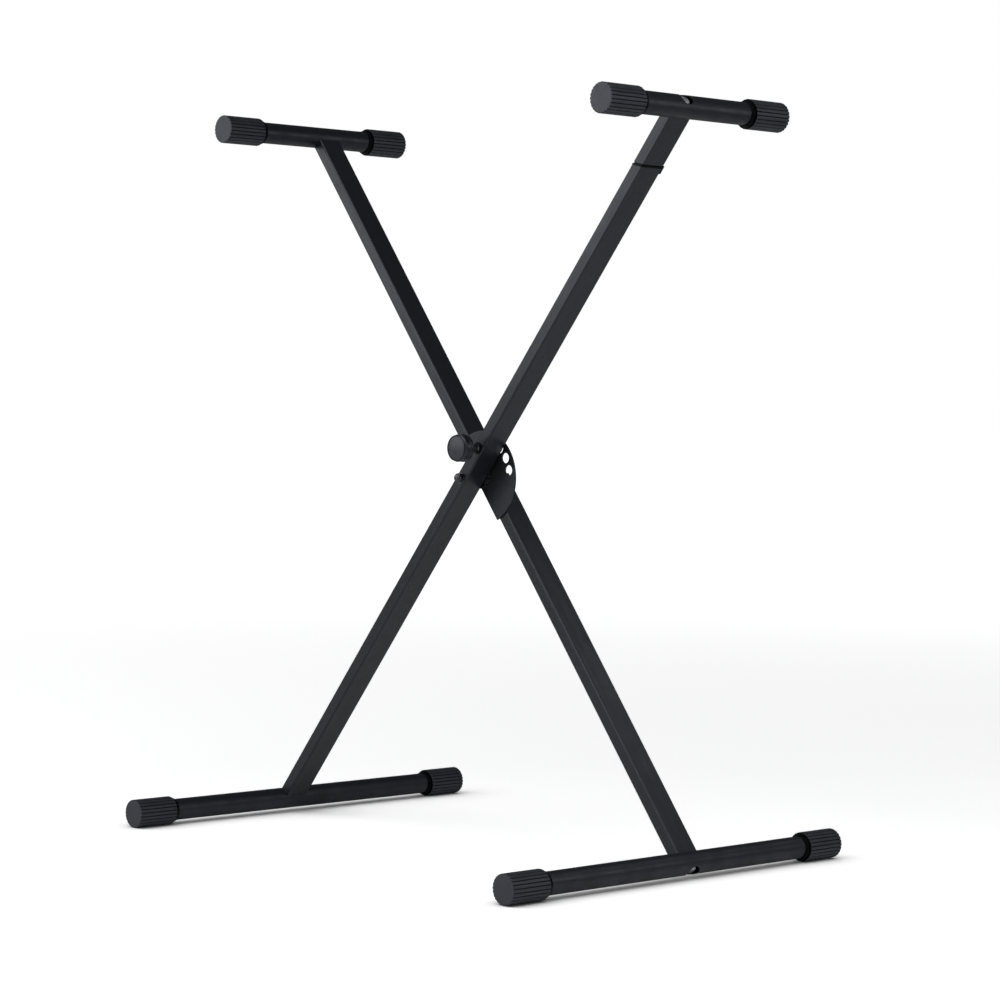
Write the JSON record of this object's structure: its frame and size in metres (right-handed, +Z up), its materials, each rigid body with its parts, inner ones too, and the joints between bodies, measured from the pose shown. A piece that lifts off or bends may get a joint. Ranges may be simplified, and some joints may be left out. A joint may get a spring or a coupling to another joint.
{
  "type": "keyboard stand",
  "caption": "Folding X-shaped keyboard stand of black steel tube with ribbed rubber end caps, a holed sector plate and a spring-loaded pull knob.",
  "frame": {"origin": "on the floor, midway between the two foot bars and midway along them", "axes": "+X across the X of the arms from the left foot bar to the right one, +Y along the bars from the knob's side to the back, +Z up"},
  "size_m": [0.6758, 0.514, 0.8513],
  "materials": {
    "arm_paint": "satin powder coat",
    "bar_paint": "satin powder coat",
    "plate_paint": "satin powder coat",
    "cap_rubber": "matte",
    "knob_plastic": "satin",
    "knob_face": "matte",
    "collar_plastic": "satin",
    "bare_steel": "plain",
    "zinc_steel": "zinc plated",
    "washer_steel": "zinc plated",
    "black_fastener": "black oxide",
    "friction_plastic": "plain",
    "spring_steel": "plain"
  },
  "bodies": {
    "front_frame": {"front_arm_tube": "arm_paint", "front_top_section": "arm_paint", "top_section_spigot": "bare_steel", "top_section_collar": "collar_plastic", "left_foot_bar": "bar_paint", "right_top_bar": "bar_paint", "left_foot_cap_front": "cap_rubber", "left_foot_cap_rear": "cap_rubber", "right_top_cap_front": "cap_rubber", "right_top_cap_rear": "cap_rubber", "left_foot_plug": "bare_steel", "right_top_plug": "bare_steel", "left_foot_screw": "zinc_steel", "right_top_screw": "zinc_steel", "left_foot_spacer": "washer_steel", "right_top_spacer": "washer_steel", "front_pivot_sleeve": "washer_steel", "pivot_bolt": "black_fastener", "pivot_nut": "black_fastener", "pivot_washers": "washer_steel", "pivot_spacer": "washer_steel", "friction_washer": "friction_plastic", "pin_bush": "collar_plastic"},
    "rear_frame": {"rear_arm_tube": "arm_paint", "right_foot_bar": "bar_paint", "left_top_bar": "bar_paint", "right_foot_cap_front": "cap_rubber", "right_foot_cap_rear": "cap_rubber", "left_top_cap_front": "cap_rubber", "left_top_cap_rear": "cap_rubber", "right_foot_plug": "bare_steel", "left_top_plug": "bare_steel", "right_foot_screw": "zinc_steel", "left_top_screw": "zinc_steel", "right_foot_spacer": "washer_steel", "left_top_spacer": "washer_steel", "rear_pivot_sleeve": "washer_steel", "sector_plate": "plate_paint", "plate_welds": "plate_paint"},
    "pull_pin": {"pull_knob": "knob_plastic", "knob_cap": "knob_face", "lock_pin": "zinc_steel", "lock_spring": "spring_steel"}
  },
  "joints": [
    {"name": "fold", "type": "hinge", "parent": "front_frame", "child": "rear_frame", "pos_m": [0, 0, 0.42563], "axis": [0, 1, 0], "range_deg": [-39, 72.3]},
    {"name": "pull_pin", "type": "slide", "parent": "front_frame", "child": "pull_pin", "axis": [0, -1, 0], "range_m": [-0.0021, 0.002], "stiffness_N_per_m": 600, "springref_m": -0.01, "deforming": ["lock_spring"]}
  ]
}
